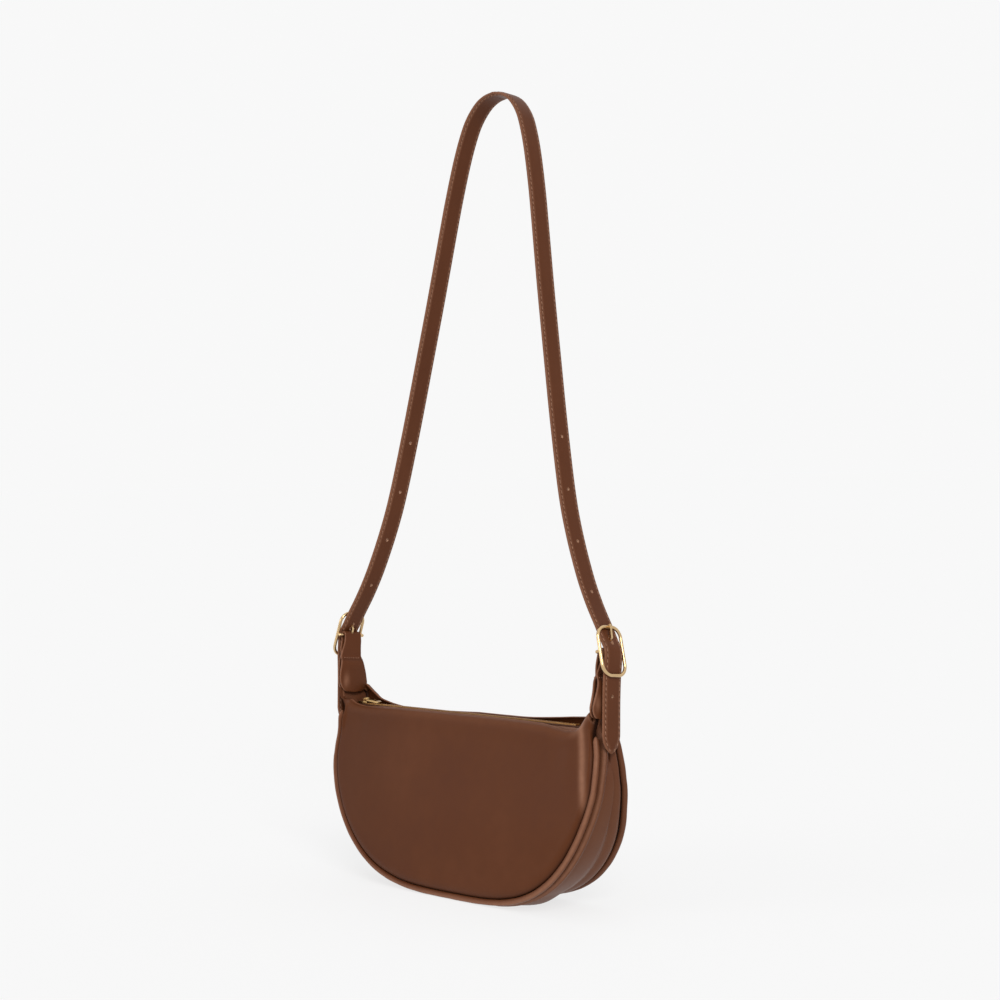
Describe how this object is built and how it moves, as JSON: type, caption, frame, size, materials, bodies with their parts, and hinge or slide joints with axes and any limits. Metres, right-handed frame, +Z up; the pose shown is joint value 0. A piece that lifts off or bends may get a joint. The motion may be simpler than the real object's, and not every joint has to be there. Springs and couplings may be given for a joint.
{
  "type": "saddle handbag",
  "caption": "Brown leather half-moon shoulder bag with piped seams, a zipped mouth and a long strap held by two gold buckles.",
  "frame": {"origin": "on the ground under the middle of the bag, in the plane between the two panels", "axes": "+X to the right along the bag's width, +Y to the back, +Z up; the front panel faces -Y"},
  "size_m": [0.3062, 0.0842, 0.6128],
  "materials": {
    "panel_leather": "smooth satin",
    "gusset_leather": "smooth satin",
    "piping_leather": "smooth satin",
    "facing_leather": "matte",
    "strap_leather": "smooth satin",
    "zip_tape": "woven",
    "lining_cloth": "woven",
    "board": "matte",
    "buckle_metal": "polished pale gold",
    "zip_metal": "polished pale gold"
  },
  "bodies": {
    "bag_body": {"front_panel": "panel_leather", "back_panel": "panel_leather", "gusset": "gusset_leather", "front_piping": "piping_leather", "back_piping": "piping_leather", "front_facing": "facing_leather", "back_facing": "facing_leather", "front_zip_tape": "zip_tape", "back_zip_tape": "zip_tape", "front_zip_teeth": "zip_metal", "back_zip_teeth": "zip_metal", "zip_top_stops": "zip_metal", "zip_bottom_stop": "zip_metal", "front_lining": "lining_cloth", "back_lining": "lining_cloth", "gusset_lining": "lining_cloth", "slip_pocket": "lining_cloth", "base_board": "board", "left_ear_core": "board", "right_ear_core": "board"},
    "strap_body": {"strap": "strap_leather", "left_chape": "strap_leather", "right_chape": "strap_leather", "left_buckle": "buckle_metal", "right_buckle": "buckle_metal"},
    "left_prong_body": {"left_prong": "buckle_metal"},
    "right_prong_body": {"right_prong": "buckle_metal"},
    "slider_body": {"zip_slider": "zip_metal"},
    "pull_body": {"zip_pull": "zip_metal"}
  },
  "joints": [
    {"name": "strap_tilt", "type": "hinge", "parent": "bag_body", "child": "strap_body", "pos_m": [0, -0.003, 0.157], "axis": [1, 0, 0], "range_deg": [-80, 90]},
    {"name": "left_prong_lift", "type": "hinge", "parent": "strap_body", "child": "left_prong_body", "pos_m": [-0.14404, 0.00055, 0.19081], "axis": [0, -0.9945, 0.1045], "range_deg": [0, 24]},
    {"name": "right_prong_lift", "type": "hinge", "parent": "strap_body", "child": "right_prong_body", "pos_m": [0.14404, 0.00055, 0.19081], "axis": [0, 0.9945, -0.1045], "range_deg": [0, 24]},
    {"name": "zip_slide", "type": "slide", "parent": "bag_body", "child": "slider_body", "axis": [1, 0, 0], "range_m": [0, 0.24]},
    {"name": "zip_pull_swing", "type": "hinge", "parent": "slider_body", "child": "pull_body", "pos_m": [-0.12618, 0, 0.1401], "axis": [0, -1, 0], "range_deg": [0, 120]}
  ]
}
